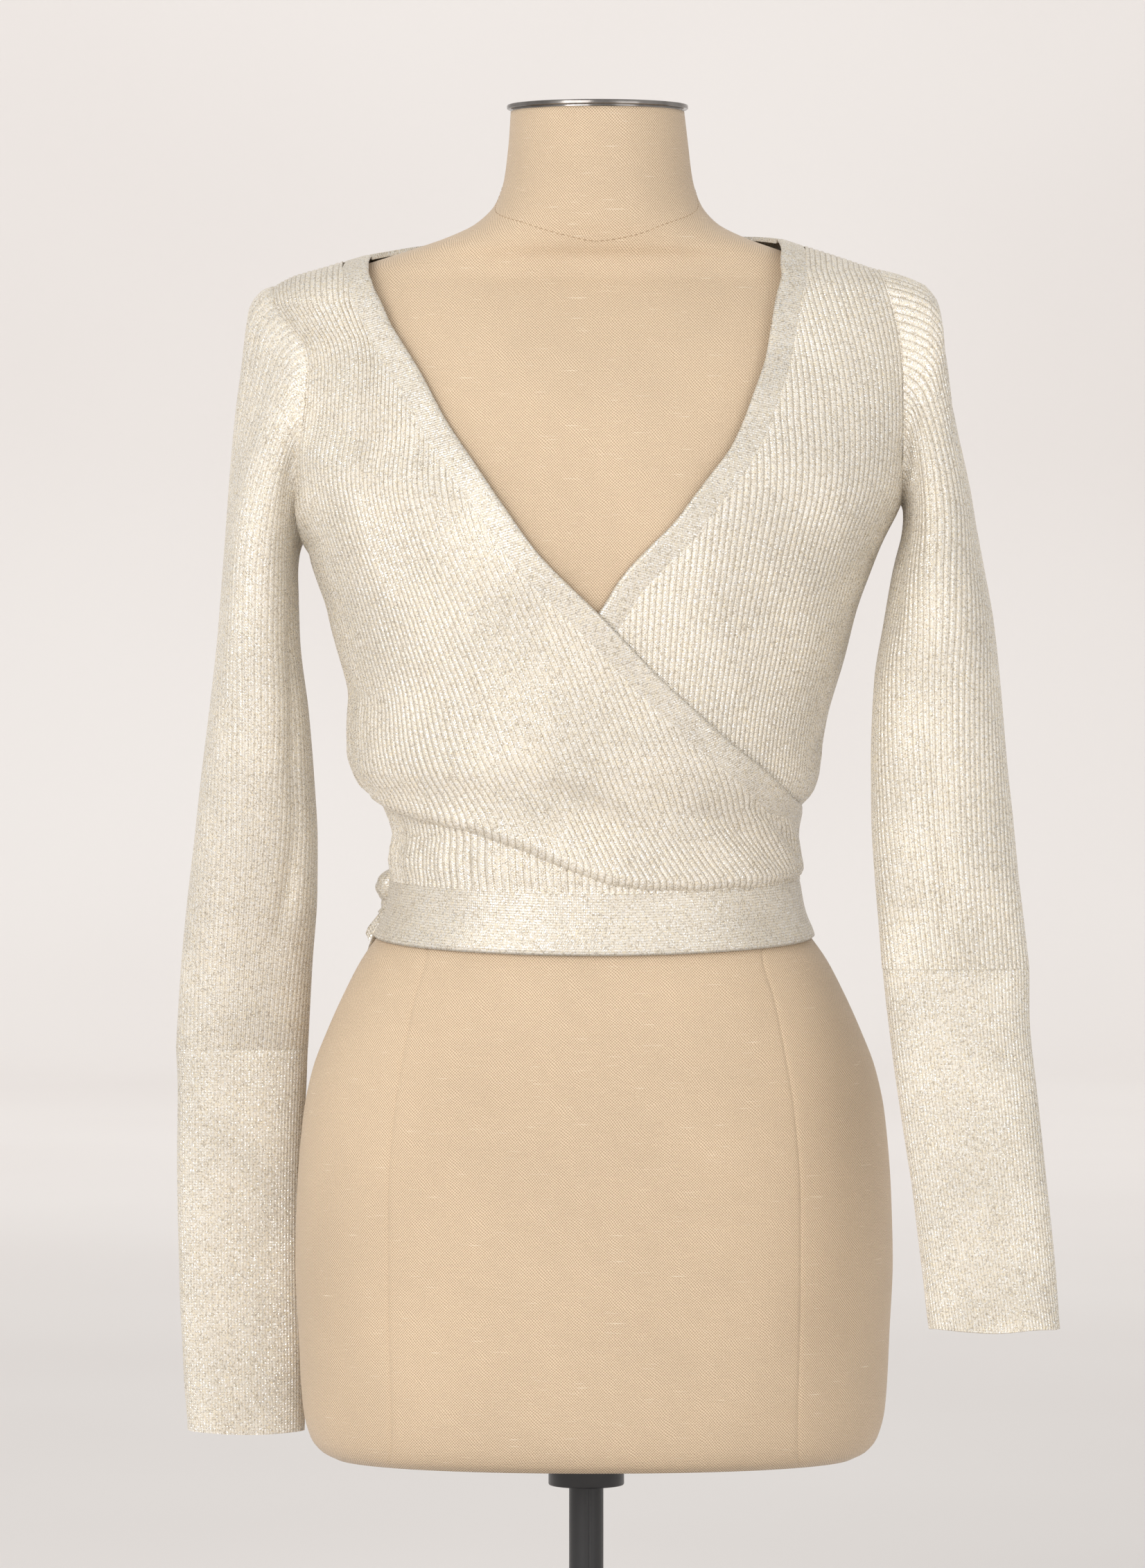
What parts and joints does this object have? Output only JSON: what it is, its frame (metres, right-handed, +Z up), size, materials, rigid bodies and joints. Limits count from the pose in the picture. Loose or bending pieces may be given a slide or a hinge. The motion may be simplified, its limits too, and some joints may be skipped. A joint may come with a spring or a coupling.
{
  "type": "wrap top on a dress form",
  "caption": "Ribbed metallic-knit wrap top with long sleeves and a tied waistband, worn on a limbless linen dress form with a metal neck cap and a short pole stand.",
  "frame": {"origin": "centre of the base's underside, on the floor under the form", "axes": "+Z up, +X to the viewer's right, the front faces -Y"},
  "size_m": [0.5052, 0.3456, 0.9849],
  "materials": {
    "rib_knit": "pale champagne rib knit with metallic yarn",
    "flat_knit": "fine flat knit with metallic yarn",
    "linen": "tan linen weave",
    "dark_metal": "dark polished metal",
    "black_satin": "black satin paint"
  },
  "bodies": {
    "root": {"front_right": "rib_knit", "front_left": "rib_knit", "back": "rib_knit", "sleeve_right": "rib_knit", "sleeve_left": "rib_knit", "cuff_right": "rib_knit", "cuff_left": "rib_knit", "neckband_right": "flat_knit", "neckband_left": "flat_knit", "neckband_back": "flat_knit", "waistband_right": "flat_knit", "waistband_left": "flat_knit", "waistband_back": "flat_knit", "tie_right": "flat_knit", "tie_left": "flat_knit", "tie_knot": "flat_knit", "tie_loop": "flat_knit", "tie_end_right": "flat_knit", "tie_end_left": "flat_knit", "form": "linen", "neck_cap": "dark_metal", "pole_collar": "black_satin", "pole": "black_satin", "base": "black_satin"}
  },
  "joints": []
}
